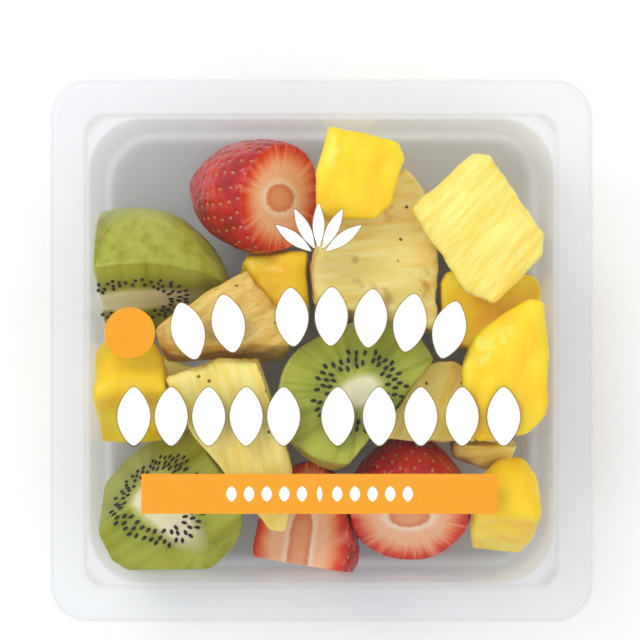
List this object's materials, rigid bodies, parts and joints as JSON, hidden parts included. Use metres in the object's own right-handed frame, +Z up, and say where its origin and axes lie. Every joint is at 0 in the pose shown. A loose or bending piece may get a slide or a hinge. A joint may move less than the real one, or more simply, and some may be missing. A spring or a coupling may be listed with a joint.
{
  "type": "fruit salad",
  "caption": "Mixed fruit salad of strawberry, kiwi, mango and pineapple chunks in a clear square plastic tub with a sealed clear film lid.",
  "frame": {"origin": "middle of the tub's footprint, on the surface that the tub's base stands on", "axes": "+Z up out of the tub through the film lid, +Y towards the side that is uppermost when the lid is looked at from above, +X to its right"},
  "size_m": [0.1498, 0.1498, 0.0506],
  "materials": {
    "clear_tub": "polished",
    "clear_film": "polished",
    "strawberry": "satin",
    "kiwi": "satin",
    "mango": "satin",
    "pineapple": "satin"
  },
  "bodies": {
    "root": {"tub": "clear_tub", "film_lid": "clear_film", "strawberry_north": "strawberry", "strawberry_southeast": "strawberry", "strawberry_south": "strawberry", "strawberry_under_east": "strawberry", "kiwi_middle": "kiwi", "kiwi_northwest": "kiwi", "kiwi_southwest": "kiwi", "mango_east": "mango", "mango_north": "mango", "mango_west": "mango", "mango_southeast": "mango", "mango_northwest": "mango", "mango_east_low": "mango", "mango_under_northeast": "mango", "mango_under_east": "mango", "mango_under_southwest": "mango", "pineapple_east": "pineapple", "pineapple_northeast": "pineapple", "pineapple_southwest": "pineapple", "pineapple_north": "pineapple", "pineapple_west": "pineapple", "pineapple_southeast": "pineapple", "pineapple_under_north": "pineapple", "pineapple_under_west": "pineapple", "pineapple_under_top": "pineapple"}
  },
  "joints": []
}
